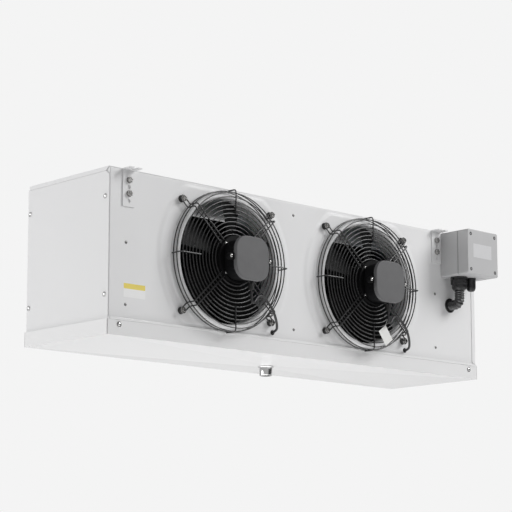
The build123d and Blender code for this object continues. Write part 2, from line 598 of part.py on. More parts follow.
# ---- drain pan ------------------------------------------------------------
def pan_shell(inset, floor, top):
    """Solid with the pan's walls and its shallow pyramid bottom."""
    wide, deep = 2 * (PAN_X - inset), 2 * (PAN_Y - inset)
    tub = Pos(0, 0, floor) * extrude(Rectangle(wide, deep), amount=top - floor)
    flat = Pos(0, 0, floor - PAN_DROP) * Rectangle(46, 46)
    return tub + loft([flat, Pos(0, 0, floor) * Rectangle(wide, deep)], ruled=True)


def drain_pan():
    """Hinged pan, spigot, hinges and retaining screws."""
    pan = pan_shell(0, PAN_FOOT, PAN_LIP_TOP) - pan_shell(SHEET, PAN_FOOT + SHEET, PAN_LIP_TOP + 1)
    pan -= block(-PAN_X - 1, PAN_X + 1, -PAN_Y + SHEET, PAN_Y + 1, PAN_SIDE_TOP, PAN_LIP_TOP + 1)
    hem = Plane.XZ.offset(PAN_Y) * Pos(0, PAN_LIP_TOP - 2.75) * soft_rectangle(1302, 5.5, 2.5)
    pan += extrude(hem, amount=1.5)
    bottom = PAN_FOOT - PAN_DROP
    pan -= prism(facing(0, 0, bottom - 1, (0, 0, 1)), 17.3, 0, 5, 24)
    for side in (-1, 1):
        pan -= prism(facing(side * PAN_SCREW_X, -PAN_Y, PAN_SCREW_Z, (0, 1, 0)), 2.7, -1, 3, 12)
    parts["drain_pan"] = pan

    down = Plane(origin=(0, 0, bottom), z_dir=(0, 0, -1))
    spigot = prism(down, 20, 0, 3, 24)
    spigot += extrude(down.offset(3) * Circle(16.625), amount=22)
    spigot += prism(down, 17, -10, 0, 24)
    parts["drain_spigot"] = spigot - prism(down, 13, -11, 30, 16)
    parts["drain_gasket"] = prism(down, 23, -SHEET - 2, -SHEET, 24) - prism(down, 17.3, -5, 0, 24)
    parts["drain_nut"] = prism(down, 22, -9, -SHEET - 2, 6) - prism(down, 17.3, -12, 0, 24)

    screws, nuts = [], []
    for side in (-1, 1):
        axis = facing(side * PAN_SCREW_X, -PAN_Y, PAN_SCREW_Z, (0, 1, 0))
        screws.append(prism(axis, 6.8, -1.2, 0, 12) + prism(axis, 4.5, -3.2, -1.2, 8)
                      + prism(axis, 2.5, 0, 12, 8) + prism(axis, 4.5, SHEET, SHEET + 1.2, 8))
        nuts.append(prism(axis, 5, 2 * SHEET + 1.7, 2 * SHEET + 6, 6)
                    - prism(axis, 2.8, 0, 15, 12))
    parts["pan_screws"] = group(screws)
    parts["pan_nuts"] = group(nuts)

    fixed, moving = [], []
    for x in HINGE_X:
        along = Plane(origin=(x, HINGE_Y, HINGE_Z), z_dir=(1, 0, 0))
        leaf = block(x - 18, x, REAR_FLANGE_FACE, REAR_FLANGE_FACE + 2, -352, -330)
        arm = block(x - 18, x, REAR_FLANGE_FACE, HINGE_Y, -357, -352)
        pin = extrude(along * Circle(HINGE_PIN_R), amount=17)
        fixed.append(leaf + arm + prism(along, HINGE_KNUCKLE_R, -18, 0, 8) + pin)
        leaf = block(x + 0.2, x + 18, PAN_Y, PAN_Y + 2, -392, -361)
        arm = block(x + 0.2, x + 18, PAN_Y, HINGE_Y, -364, -361)
        knuckle = prism(along, HINGE_KNUCKLE_R, 0.2, 18, 8)
        bore = extrude(along * Circle(HINGE_PIN_R + 0.05), amount=20)
        moving.append(leaf + arm + knuckle - bore)
    parts["hinge_leaves_fixed"] = group(fixed)
    parts["hinge_leaves_pan"] = group(moving)


def hang_tag():
    """Card on a string tied to the second fan's guard."""
    card = Polyline((213, -313), (240, -349), (266, -330), (239, -294), close=True)
    plane = Plane.XZ.offset(-FRONT + 47)
    parts["tag_card"] = extrude(plane * make_face(card), amount=0.5)
    string = [(249, -205, -237), (249.5, -207, -262), (244, -205.2, -285), (239.6, -204.9, -293.8)]
    parts["tag_string"] = swept_tube(string, 0.6, 4)


cabinet()
hangers()
coil()
fans()
junction_box()
drain_pan()
hang_tag()

for name, shape in parts.items():
    export_step(shape, f"parts/{name}.step")
print(len(parts), "nodes")
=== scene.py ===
"""Walk-in unit cooler: finishes, guards, fans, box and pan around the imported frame."""
import logging
import math
from dataclasses import dataclass
from enum import Enum
from typing import Callable, Iterable, Sequence

import bmesh
import bpy
import numpy as np
from mathutils import Matrix, Vector


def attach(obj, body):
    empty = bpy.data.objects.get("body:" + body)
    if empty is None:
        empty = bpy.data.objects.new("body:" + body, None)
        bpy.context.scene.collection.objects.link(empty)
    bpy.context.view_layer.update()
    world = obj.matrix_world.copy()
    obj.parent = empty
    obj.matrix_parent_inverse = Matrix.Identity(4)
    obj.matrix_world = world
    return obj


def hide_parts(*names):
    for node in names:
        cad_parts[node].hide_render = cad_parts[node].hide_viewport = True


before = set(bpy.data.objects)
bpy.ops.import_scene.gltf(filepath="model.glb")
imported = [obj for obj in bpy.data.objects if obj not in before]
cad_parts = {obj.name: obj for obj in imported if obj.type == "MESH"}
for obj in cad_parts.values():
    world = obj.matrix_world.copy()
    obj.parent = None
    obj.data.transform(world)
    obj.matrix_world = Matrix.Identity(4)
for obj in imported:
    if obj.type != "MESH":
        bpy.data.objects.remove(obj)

Point = tuple[float, float, float]
Color = tuple[float, float, float]
Outline = list[tuple[float, float]]
Piece = bpy.types.Object
Tree = bpy.types.NodeTree
Node = bpy.types.Node
Socket = bpy.types.NodeSocket
MM = 0.001
FRONT = -158.0  # panel face, millimetres
CORD_END = -154.5  # where cords end behind the panel
FAN_X = (-287.0, 204.0)
FAN_Z = -185.0
CORNERS = ((-1, -1), (1, -1), (1, 1), (-1, 1))
GLOSS_SPREAD = 0.15  # share by which the roughness wanders
SHADED_SHARE = 0.06  # share of the colour left where the painted shade is deepest
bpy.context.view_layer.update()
log = logging.getLogger("unit_cooler")


class Body(str, Enum):
    """Rigid bodies of the frame."""

    CABINET = "cabinet"
    FAN_1 = "fan_1_wheel"
    FAN_2 = "fan_2_wheel"
    PAN = "pan"


# ---- finishes ----
def feed(tree: Tree, node: Node, values: dict) -> None:
    """Sets or links the inputs of a shader node.

    Args:
        tree: node tree that holds it.
        node: the node.
        values: value, or output of another node, by input.
    """
    for key, value in values.items():
        if isinstance(value, Socket):
            tree.links.new(value, node.inputs[key])
        else:
            node.inputs[key].default_value = value


def add_node(tree: Tree, kind: str, values: dict | None = None, **settings: str) -> Node:
    """Adds a shader node.

    Args:
        tree: node tree to add to.
        kind: its type without the common prefix.
        values: value, or output of another node, by input.
        settings: its other settings.

    Returns:
        The node.
    """
    node = tree.nodes.new(f"ShaderNode{kind}")
    for setting, value in settings.items():
        setattr(node, setting, value)
    feed(tree, node, values or {})
    return node


@dataclass(frozen=True)
class Finish:
    """A surface with two close tones, uneven gloss and a fine relief.

    Args:
        name: material name.
        color: main tone, linear.
        second: tone of the faint patches, linear.
        roughness: mean roughness.
        metallic: 1 for bare metal.
        coat: clear coat weight.
        patch: patches per metre.
        grain: relief cells per metre.
        relief: height of the relief in metres.
        specular: strength of the plain reflection.
        coat_roughness: roughness of the clear coat.
        painted_shade: depths in metres between which painted shade, standing in for the dark
            inside of the unit, gives way to the full colour, if any.
        slot: material slot of the record for its pieces; not used.
    """

    name: str
    color: Color
    second: Color
    roughness: float
    metallic: float = 0.0
    coat: float = 0.0
    patch: float = 6.0
    grain: float = 900.0
    relief: float = 0.00002
    specular: float = 0.5
    coat_roughness: float = 0.12
    painted_shade: tuple[float, float] | None = None
    slot: str = ""

    def material(self) -> bpy.types.Material:
        """Builds the node tree, once.

        Returns:
            The material.
        """
        name = f"look_{self.name}"
        known = bpy.data.materials.get(name)
        if known:
            return known
        material = bpy.data.materials.new(name)
        material.use_nodes = True
        tree = material.node_tree
        place = add_node(tree, "TexCoord").outputs["Object"]
        patches = add_node(tree, "TexNoise", {"Scale": self.patch, "Detail": 3.0, "Vector": place})
        mix = add_node(tree, "Mix", {0: patches.outputs["Fac"], 6: (*self.color, 1),
                                     7: (*self.second, 1)}, data_type="RGBA")
        color = mix.outputs[2]
        # painted shade: the colour darkens towards the front of the piece, standing in for the
        # dark inside of the unit
        if self.painted_shade:
            color = self._paint_shade_forward(tree, place, color)
        least, most = 1 - GLOSS_SPREAD, 1 + GLOSS_SPREAD
        gloss = add_node(tree, "MapRange", {"Value": patches.outputs["Fac"],
                                            "To Min": self.roughness * least,
                                            "To Max": min(1.0, self.roughness * most)})
        grain = add_node(tree, "TexNoise", {"Scale": self.grain, "Detail": 2.0, "Vector": place})
        bump = add_node(tree, "Bump", {"Height": grain.outputs["Fac"], "Strength": 0.5,
                                       "Distance": self.relief})
        feed(tree, tree.nodes["Principled BSDF"],
             {"Base Color": color, "Roughness": gloss.outputs["Result"],
              "Normal": bump.outputs["Normal"], "Metallic": self.metallic,
              "Specular IOR Level": self.specular, "Coat Weight": self.coat,
              "Coat Roughness": self.coat_roughness})
        return material

    def _paint_shade_forward(self, tree: Tree, place: Socket, color: Socket) -> Socket:
        """Paints shade into the colour towards the fan side of the piece, for the dark inside of
        the unit.

        Args:
            tree: node tree to add to.
            place: output that gives the place.
            color: output that gives the unshaded colour.

        Returns:
            Output that gives the darkened colour.
        """
        split = add_node(tree, "SeparateXYZ", {"Vector": place})
        unshaded_share = add_node(tree, "MapRange", {"Value": split.outputs["Y"], "To Min": SHADED_SHARE,
                                            "From Min": self.painted_shade[0], "From Max": self.painted_shade[1]})
        scale = add_node(tree, "VectorMath", {0: color, "Scale": unshaded_share.outputs["Result"]},
                         operation="SCALE")
        return scale.outputs["Vector"]


class Finishes(Enum):
    """Every finish of the unit."""

    WHITE = Finish("white_powder", (0.77, 0.77, 0.775), (0.745, 0.745, 0.75), 0.5, coat=0.08,
                   specular=0.35, slot="white_steel")
    # the pan white is lighter than the cabinet white as painted light, for the brighter light on
    # its lip and underside; its glossy coat is its own
    PAN = Finish("white_pan", (0.825, 0.825, 0.828), (0.805, 0.805, 0.808), 0.3, coat=0.75,
                 coat_roughness=0.03, slot="white_steel")
    GALVANISED = Finish("galvanised", (0.52, 0.54, 0.56), (0.42, 0.44, 0.46), 0.38, 0.9, patch=40)
    ZINC = Finish("zinc_screws", (0.52, 0.515, 0.505), (0.38, 0.375, 0.37), 0.18, 1.0, patch=150,
                  slot="zinc_screws")
    DULL_ZINC = Finish("zinc_dull", (0.26, 0.257, 0.253), (0.18, 0.178, 0.175), 0.3, 1.0,
                       patch=150, slot="zinc_screws")
    CHROME = Finish("chrome", (0.80, 0.80, 0.80), (0.72, 0.72, 0.72), 0.1, 1.0, patch=120,
                    slot="zinc_screws")
    # the fin pack's front is darkened with painted shade, for the dark inside seen through the
    # fans
    FINS = Finish("fin_aluminium", (0.46, 0.47, 0.48), (0.36, 0.37, 0.38), 0.35, 0.9, patch=30,
                  painted_shade=(0.06, 0.13))
    COPPER = Finish("copper", (0.62, 0.30, 0.18), (0.45, 0.20, 0.12), 0.32, 0.95, patch=60)
    GUARD = Finish("guard_black", (0.015, 0.015, 0.016), (0.020, 0.020, 0.021), 0.28, coat=0.35,
                   patch=80, slot="guard_black")
    MOTOR = Finish("motor_black", (0.004, 0.004, 0.0045), (0.006, 0.006, 0.0065), 0.6, patch=60,
                   specular=0.12, slot="motor_black")
    LID = Finish("lid_grey", (0.120, 0.120, 0.123), (0.108, 0.108, 0.111), 0.62, patch=40,
                 relief=0.00008, slot="lid_grey")
    BLADE = Finish("blade_black", (0.003, 0.003, 0.0032), (0.004, 0.004, 0.0042), 0.42, patch=30,
                   specular=0.07, slot="blade_black")
    RUBBER = Finish("rubber_black", (0.012, 0.012, 0.012), (0.02, 0.02, 0.02), 0.7, patch=90,
                    slot="rubber_black")
    LEAD = Finish("lead_black", (0.014, 0.014, 0.015), (0.022, 0.022, 0.023), 0.42, patch=60,
                  slot="lead_black")
    BOX = Finish("box_grey", (0.48, 0.48, 0.485), (0.455, 0.455, 0.46), 0.5, patch=25,
                 relief=0.00004, slot="box_grey")
    PLATE = Finish("label_pale", (0.62, 0.62, 0.63), (0.57, 0.57, 0.58), 0.4, patch=60,
                   slot="box_grey")
    GASKET = Finish("gasket_grey", (0.34, 0.34, 0.345), (0.30, 0.30, 0.305), 0.6, patch=60,
                    slot="seal_dark")
    SEAL = Finish("seal_dark", (0.03, 0.03, 0.03), (0.045, 0.045, 0.045), 0.7, patch=60,
                  slot="seal_dark")
    GLAND = Finish("gland_grey", (0.012, 0.012, 0.013), (0.018, 0.018, 0.019), 0.28, patch=60,
                   slot="gland_grey")
    CONDUIT = Finish("conduit_grey", (0.010, 0.010, 0.011), (0.016, 0.016, 0.017), 0.22, patch=60,
                     coat=0.6, slot="conduit_grey")
    CARD = Finish("card", (0.80, 0.80, 0.78), (0.74, 0.74, 0.72), 0.8, patch=90, slot="card")
    STRING = Finish("string", (0.66, 0.66, 0.64), (0.55, 0.55, 0.53), 0.8, patch=400,
                    slot="string")
    PAPER = Finish("sticker_white", (0.84, 0.84, 0.84), (0.81, 0.81, 0.81), 0.45, patch=60,
                   slot="white_steel")
    YELLOW = Finish("sticker_yellow", (0.80, 0.66, 0.14), (0.76, 0.61, 0.12), 0.45, patch=60,
                    slot="white_steel")


# ---- building helpers ----
def dress(piece: Piece, finish: Finishes, replaces: Sequence[str] = (),
          body: Body = Body.CABINET) -> None:
    """Gives a piece its finish and its place in the frame.

    Args:
        piece: the object.
        finish: its surface.
        replaces: CAD nodes that it stands for.
        body: the rigid body that it moves with.
    """
    piece.data.materials.clear()
    piece.data.materials.append(finish.value.material())
    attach(piece, body.value)
    if replaces:
        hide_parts(*replaces)
    log.info("%s, %s, on %s", piece.name, finish.value.name, body.value)


def add_object(name: str, data: bpy.types.ID) -> Piece:
    """Puts an object with the given data into the scene.

    Args:
        name: object name.
        data: its mesh, curve, camera or lamp.

    Returns:
        The object.
    """
    piece = bpy.data.objects.new(name, data)
    bpy.context.collection.objects.link(piece)
    return piece


def mesh_object(name: str, points: Iterable, faces: Iterable, sharp: float = 35.0,
                solid: float = 0.0) -> Piece:
    """Makes a mesh object from points in millimetres.

    Args:
        name: object name.
        points: vertices, millimetres.
        faces: vertex indices of each face.
        sharp: angle in degrees above which an edge stays sharp.
        solid: sheet thickness in millimetres, laid behind the faces.

    Returns:
        The object.
    """
    mesh = bpy.data.meshes.new(name)
    mesh.from_pydata([Vector(p) * MM for p in points], [], [list(f) for f in faces])
    tidy = bmesh.new()
    tidy.from_mesh(mesh)
    bmesh.ops.remove_doubles(tidy, verts=tidy.verts, dist=0.000001)
    if not solid:
        bmesh.ops.recalc_face_normals(tidy, faces=tidy.faces)
    tidy.to_mesh(mesh)
    tidy.free()
    mesh.shade_smooth()
    mesh.set_sharp_from_angle(angle=math.radians(sharp))
    piece = add_object(name, mesh)
    if solid:
        sheet = piece.modifiers.new("sheet", "SOLIDIFY")
        sheet.thickness = solid * MM
        sheet.offset = -1
    return piece


def join(name: str, pieces: Sequence[Piece]) -> Piece:
    """Joins several mesh pieces of the same finish into one object.

    Args:
        name: name of the result.
        pieces: mesh objects.

    Returns:
        The joined object.
    """
    gathered = bmesh.new()
    for piece in pieces:
        piece.data.transform(piece.matrix_world)
        gathered.from_mesh(piece.data)
    mesh = bpy.data.meshes.new(name)
    gathered.to_mesh(mesh)
    gathered.free()
    for piece in pieces:
        bpy.data.objects.remove(piece, do_unlink=True)
    return add_object(name, mesh)


@dataclass(frozen=True)
class Axis:
    """Local frame: an origin in millimetres, a direction and a side direction."""

    origin: Point
    along: Point = (0.0, -1.0, 0.0)
    side: Point = (1.0, 0.0, 0.0)

    def at(self, a: float, b: float, depth: float) -> Point:
        """Point at side a, up b and distance depth along the direction.

        Args:
            a: millimetres along the side direction.
            b: millimetres across it.
            depth: millimetres along the axis.

        Returns:
            The point in millimetres.
        """
        along, side = Vector(self.along).normalized(), Vector(self.side).normalized()
        up = along.cross(side)
        return tuple(Vector(self.origin) + side * a + up * b + along * depth)

    @classmethod
    def down(cls, origin: Point) -> "Axis":
        """Frame that looks straight down."""
        return cls(origin, (0, 0, -1), (1, 0, 0))

    @classmethod
    def outward(cls, side: int, origin: Point) -> "Axis":
        """Frame that looks out of the left end, side -1, or the right one."""
        return cls(origin, (side, 0, 0), (0, side, 0))

    @classmethod
    def lengthwise(cls, out: int, origin: Point) -> "Axis":
        """Frame that looks out of the front, out -1, or the back."""
        return cls(origin, (0, out, 0), (-out, 0, 0))


def grid_faces(rows: int, cols: int, wrap_rows: bool = False,
               wrap_cols: bool = False) -> list[tuple[int, ...]]:
    """Quads between neighbouring points of a grid.

    Args:
        rows: number of rows.
        cols: points in a row.
        wrap_rows: whether the last row meets the first.
        wrap_cols: whether each row closes.

    Returns:
        Point numbers of each face.
    """
    faces = []
    for i in range(rows if wrap_rows else rows - 1):
        near, far = i * cols, (i + 1) % rows * cols
        for j in range(cols if wrap_cols else cols - 1):
            k = (j + 1) % cols
            faces.append((near + j, near + k, far + k, far + j))
    return faces


def lathe(name: str, axis: Axis, profile: Outline, steps: int = 64,
          closed: bool = False, sharp: float = 35.0) -> Piece:
    """Turns a profile of (radius, depth) about an axis.

    Args:
        name: object name.
        axis: the axis.
        profile: points from one end to the other, millimetres.
        steps: segments round.
        closed: whether the profile runs back to its start.
        sharp: angle above which edges stay sharp.

    Returns:
        The object.
    """
    points = [axis.at(r * math.cos(t), r * math.sin(t), d)
              for t in np.linspace(0, 2 * math.pi, steps, endpoint=False) for r, d in profile]
    return mesh_object(name, points, grid_faces(steps, len(profile), True, closed), sharp)


def plate(name: str, axis: Axis, outline: Outline, start: float,
          end: float, bevel: float = 0.0, bevel_steps: int = 3) -> Piece:
    """Extrudes a flat outline along an axis and rounds its edges.

    Args:
        name: object name.
        axis: its frame.
        outline: points across the axis, millimetres.
        start: depth of the back face.
        end: depth of the front face.
        bevel: edge rounding, millimetres.
        bevel_steps: segments of the rounding.

    Returns:
        The object.
    """
    count = len(outline)
    points = [axis.at(a, b, d) for d in (start, end) for a, b in outline]
    faces = [tuple(range(count)), tuple(range(2 * count - 1, count - 1, -1))]
    faces += [(i, (i + 1) % count, count + (i + 1) % count, count + i) for i in range(count)]
    piece = mesh_object(name, points, faces)
    if bevel:
        rounding = piece.modifiers.new("rounding", "BEVEL")
        rounding.width = bevel * MM
        rounding.segments = bevel_steps
        rounding.limit_method = "ANGLE"
        rounding.angle_limit = math.radians(40)
    return piece


def rounded_outline(width: float, height: float, corner: float, steps: int = 8,
                    lift: float = 0.0) -> Outline:
    """Outline of a rectangle with round corners.

    Args:
        width: full width.
        height: full height.
        corner: corner radius.
        steps: segments in a corner.
        lift: shift of the centre upwards.

    Returns:
        Its points.
    """
    points = []
    for quarter, (sx, sy) in enumerate(((1, 1), (-1, 1), (-1, -1), (1, -1))):
        for step in range(steps + 1):
            angle = math.radians(90 * (quarter + step / steps))
            points.append((sx * (width / 2 - corner) + corner * math.cos(angle),
                           sy * (height / 2 - corner) + corner * math.sin(angle) + lift))
    return points


def circle_outline(radius: float, steps: int = 48, turn: float = 0.0) -> Outline:
    """Regular polygon for a circle or a nut, its first corner at turn degrees."""
    angles = [2 * math.pi * i / steps + math.radians(turn) for i in range(steps)]
    return [(radius * math.cos(angle), radius * math.sin(angle)) for angle in angles]


def rounded_path(points: Sequence[Point], radius: float, steps: int = 6) -> list[Point]:
    """Rounds the corners of a path with tangent arcs.

    Args:
        points: corners of the path.
        radius: bend radius.
        steps: segments in a bend.

    Returns:
        Points of the rounded path.
    """
    path = [Vector(points[0])]
    for before, corner, after in zip(points, points[1:], points[2:]):
        here = Vector(corner)
        back, ahead = Vector(before) - here, Vector(after) - here
        half = (math.pi - back.angle(ahead)) / 2
        reach = min(radius * math.tan(half), 0.48 * back.length, 0.48 * ahead.length)
        start, end = here + back.normalized() * reach, here + ahead.normalized() * reach
        for step in range(steps + 1):
            t = step / steps
            path.append(start * (1 - t) ** 2 + here * 2 * t * (1 - t) + end * t ** 2)
    path.append(Vector(points[-1]))
    return [tuple(p) for p in path]


def round_curve(name: str, radius: float, sides: int, kind: str,
                paths: Sequence[Sequence[Point]]) -> bpy.types.Curve:
    """Curve with a round section along each path.

    Args:
        name: curve name.
        radius: millimetres.
        sides: bevel resolution.
        kind: POLY for straight stretches, NURBS for smooth ones.
        paths: points in millimetres.

    Returns:
        The curve.
    """
    curve = bpy.data.curves.new(name, "CURVE")
    curve.dimensions = "3D"
    curve.bevel_depth = radius * MM
    curve.bevel_resolution = sides
    curve.use_fill_caps = True
    for path in paths:
        spline = curve.splines.new(kind)
        spline.points.add(len(path) - 1)
        for place, point in zip(spline.points, path):
            place.co = (*(Vector(point) * MM), 1)
    return curve


def wire(name: str, paths: Sequence[Sequence[Point]], radius: float, cyclic: bool = False,
         sides: int = 3) -> Piece:
    """Round wires along straight-sided paths, as one curve object.

    Args:
        name: object name.
        paths: paths in millimetres.
        radius: wire radius in millimetres.
        cyclic: whether each path closes.
        sides: bevel resolution.

    Returns:
        The object.
    """
    curve = round_curve(name, radius, sides, "POLY", paths)
    for spline in curve.splines:
        spline.use_cyclic_u = cyclic
        spline.use_smooth = True
    return add_object(name, curve)


def cord_curve(name: str, points: Sequence[Point], radius: float) -> Piece:
    """Round cord along given points.

    Args:
        name: object name.
        points: route in millimetres.
        radius: cord radius in millimetres.

    Returns:
        The object.
    """
    curve = round_curve(name, radius, 4, "NURBS", [points])
    curve.resolution_u = 16
    curve.splines[0].order_u = 3
    curve.splines[0].use_endpoint_u = True
    return add_object(name, curve)


def screw(name: str, axis: Axis, head: float, height: float, washer: float = 0.0,
          washer_height: float = 1.4, recess: float = 0.0) -> list[Piece]:
    """Hex or pan head on an optional washer.

    Args:
        name: object name.
        axis: foot of the screw, looking outward.
        head: across-flats size of a hex head, or minus the diameter of a pan head.
        height: head height.
        washer: washer diameter, 0 for none.
        washer_height: washer thickness.
        recess: half width of a cross recess, 0 for none.

    Returns:
        Its washer and head.
    """
    pieces = []
    base = 0.0
    if washer:
        edge = 0.25
        profile = [(0.01, 0), (washer / 2, 0), (washer / 2, washer_height - edge),
                   (washer / 2 - edge, washer_height), (0.01, washer_height)]
        pieces.append(lathe(name + "_washer", axis, profile, 32))
        base = washer_height
    if head > 0:
        outline = circle_outline(head / math.sqrt(3), 6, 12)
        pieces.append(plate(name + "_hex", axis, outline, base, base + height * 0.85))
        dome = [(0.01, base + height), (head * 0.42, base + height),
                (head * 0.5, base + height * 0.84), (0.01, base + height * 0.84)]
        pieces.append(lathe(name + "_top", axis, dome, 32))
    else:
        r = -head / 2
        dome = [(0.01, base + height), (max(recess, 0.5), base + height),
                (r * 0.6, base + height * 0.95), (r * 0.85, base + height * 0.72),
                (r, base + height * 0.3), (r, base), (0.01, base)]
        if recess:
            dome[0:1] = [(0.01, base + height * 0.45), (recess * 0.7, base + height * 0.5)]
        pieces.append(lathe(name + "_dome", axis, dome, 32))
    return pieces


# ---- cabinet ----
@dataclass
class Cabinet:
    """White sheet-metal cabinet with embossed front, nozzles, covers and hangers."""

    end: float = 655.0
    foot: float = -383.0
    sheet: float = 1.5
    gap: float = 1.0
    throat: float = 156.0
    nozzle_seat: float = 9.0
    emboss_outer: float = 223.0
    emboss_inner: float = 208.0
    emboss_height: float = 2.4
    emboss_top: float = -6.0
    emboss_foot: float = -357.0
    grid: tuple[int, int] = (523, 153)
    rivets: tuple[tuple[int, int], ...] = (
        (-602, -177), (-602, -325), (-52, -34), (-52, -330), (490, -177), (490, -325))
    hanger_x: tuple[float, float] = (-597.0, 496.0)
    bolt_z: tuple[float, float] = (-27.0, -59.5)
    cover_screw_y: tuple[float, float] = (-150.0, 145.0)
    cover_screw_z: tuple[float, float] = (-71.0, -305.0)
    back: float = 155.0
    rear_bolt_y: float = 159.5
    fold: float = 9.0
    pan_slot: tuple[float, float, float] = (623.0, -371.0, 3.2)
    sticker: tuple[float, float] = (-575.0, -290.5)
    sticker_size: tuple[float, float] = (66.0, 33.0)

    def emboss(self, x: np.ndarray, z: np.ndarray) -> np.ndarray:
        """Height of the embossed fields at points of the front.

        Args:
            x: millimetres along the front.
            z: millimetres up.

        Returns:
            Heights in millimetres.
        """
        height = np.zeros_like(x)
        above = ease((self.emboss_top - z) / self.fold)
        below = ease((z - self.emboss_foot) / self.fold)
        for centre in FAN_X:
            r = np.hypot(x - centre, z - FAN_Z)
            rim = ease((self.emboss_outer - r) / (self.emboss_outer - self.emboss_inner))
            height = np.maximum(height, rim * above * below * self.emboss_height)
        return height

    def front_sheet(self) -> Piece:
        """Embossed front with openings for the nozzles and slots for the pan screws.

        Returns:
            The sheet.
        """
        reach = self.end - self.sheet - self.gap
        x = np.linspace(-reach, reach, self.grid[0])
        z = np.linspace(-2.0, self.foot, self.grid[1])
        gx, gz = np.meshgrid(x, z)
        gy = FRONT - self.emboss(gx, gz)
        points = np.stack([gx, gy, gz], axis=-1).reshape(-1, 3)
        mx, mz = (gx[:-1, :-1] + gx[1:, 1:]) / 2, (gz[:-1, :-1] + gz[1:, 1:]) / 2
        keep = np.ones_like(mx, dtype=bool)
        for centre in FAN_X:
            keep &= np.hypot(mx - centre, mz - FAN_Z) > self.throat + self.nozzle_seat
        slot_x, slot_top, slot_half = self.pan_slot
        keep &= ~((np.abs(np.abs(mx) - slot_x) < slot_half) & (mz < slot_top))
        quads = grid_faces(len(z), len(x))
        faces = [quads[i][::-1] for i in np.flatnonzero(keep)]
        return mesh_object("front_sheet", points, faces, 60, self.sheet)

    def top_sheet(self) -> Piece:
        """Top with its rounded front fold and its rear hem.

        Returns:
            The sheet.
        """
        bend = [(FRONT + 2.0 - 2.0 * math.cos(t), -2.0 + 2.0 * math.sin(t))
                for t in np.linspace(0, math.pi / 2, 7)]
        line = bend + [(self.back - 1.5, 0), (self.back, -1.5), (self.back, -15)]
        stations = (self.sheet - self.end, self.end - self.sheet)
        points = [(x, y, z) for x in stations for y, z in line]
        count = len(line)
        faces = [(count + i, count + i + 1, i + 1, i) for i in range(count - 1)]
        return mesh_object("top_sheet", points, faces, 60, self.sheet)

    def strips(self) -> list[Piece]:
        """Turned-down ends of the top and turned-back sides of the front.

        Returns:
            The four strips.
        """
        pieces = []
        for side in (-1, 1):
            axis = Axis.outward(side, (side * self.end, 0, 0))
            outline = [(side * y, z) for y, z in
                       ((FRONT + 12, -10), (self.back, -10), (self.back, -1), (self.back - 1, 0),
                        (FRONT + 1.2, 0))]
            pieces.append(plate(f"strip_{side}", axis, outline, -self.sheet, 0))
            flange = [(side * y, z) for y, z in
                      ((-156.5, -371), (-133, -371), (-133, -2), (-156.5, -2))]
            inside = -self.sheet - self.gap
            pieces.append(plate(f"flange_{side}", axis, flange, inside - self.sheet, inside))
        return pieces

    def nozzle(self, x: float) -> Piece:
        """Drawn fan nozzle.

        Args:
            x: fan centre along the cabinet.

        Returns:
            The nozzle.
        """
        outer = [(172.5, 2.6), (170.4, 3.3), (169, 5), (168, 8), (167, 11), (165.2, 13.7),
                 (162.6, 15), (159.9, 14.4), (157.6, 12.6), (156.3, 10), (self.throat, 7),
                 (self.throat, -12), (self.throat, -32)]
        inner = [(157.5, -32), (157.5, 8), (158.9, 11), (160.6, 12.8), (162.5, 13.5),
                 (164.4, 12.6), (165.6, 10), (166.6, 5), (169, 1.7), (172.5, 1.1)]
        axis = Axis((x, FRONT, FAN_Z))
        return lathe(f"nozzle_{x:.0f}", axis, outer + inner, 144, True, 50)

    def build(self) -> None:
        """Makes the casing, its fasteners and its blank sticker."""
        dress(self.front_sheet(), Finishes.WHITE, ["casing"])
        dress(self.top_sheet(), Finishes.WHITE)
        for piece in self.strips() + [self.nozzle(x) for x in FAN_X]:
            dress(piece, Finishes.WHITE)
        self.fasteners()
        self.bare_labels()

    def fasteners(self) -> None:
        """Rivets, cover screws and hanger bolts."""
        dome = [(0.01, 1.6), (1.2, 1.5), (2.6, 1.15), (3.6, 0.6), (4.0, 0.0)]
        rivets = [lathe("rivet", Axis((x, FRONT, z)), dome, 24) for x, z in self.rivets]
        dress(join("rivets", rivets), Finishes.DULL_ZINC, ["panel_rivets"])
        screws = []
        for side in (-1, 1):
            for y in self.cover_screw_y:
                for z in self.cover_screw_z:
                    axis = Axis.outward(side, (side * self.end, side * y, z))
                    screws += screw("cover_screw", axis, -9.0, 2.0, 13.0, 1.2, recess=2.0)
        dress(join("cover_screw_heads", screws), Finishes.CHROME, ["cover_screws"])
        bolts = []
        for x in self.hanger_x:
            for z in self.bolt_z:
                for y, out in ((FRONT - 3, -1), (self.rear_bolt_y, 1)):
                    axis = Axis.lengthwise(out, (x, y, z))
                    bolts += screw("hanger_bolt", axis, 13.0, 5.3, 16.0, 1.6)
        dress(join("hanger_bolt_heads", bolts), Finishes.ZINC, ["hanger_bolts"])

    def bare_labels(self) -> None:
        """Blank sticker on the front, left of the first fan."""
        (x, z), (width, height) = self.sticker, self.sticker_size
        white = rounded_outline(width, height, 1.5, 3)
        dress(plate("panel_sticker", Axis((x, FRONT, z)), white, 0, 0.15), Finishes.PAPER)
        band = rounded_outline(width - 0.5, 12.5, 1.3, 3)
        dress(plate("sticker_band", Axis((x, FRONT - 0.15, z + 10)), band, 0, 0.05),
              Finishes.YELLOW)


def ease(t: np.ndarray) -> np.ndarray:
    """Smooth step from 0 to 1.

    Args:
        t: values, used between 0 and 1.

    Returns:
        Values between 0 and 1.
    """
    t = np.clip(t, 0.0, 1.0)
    return t * t * (3 - 2 * t)


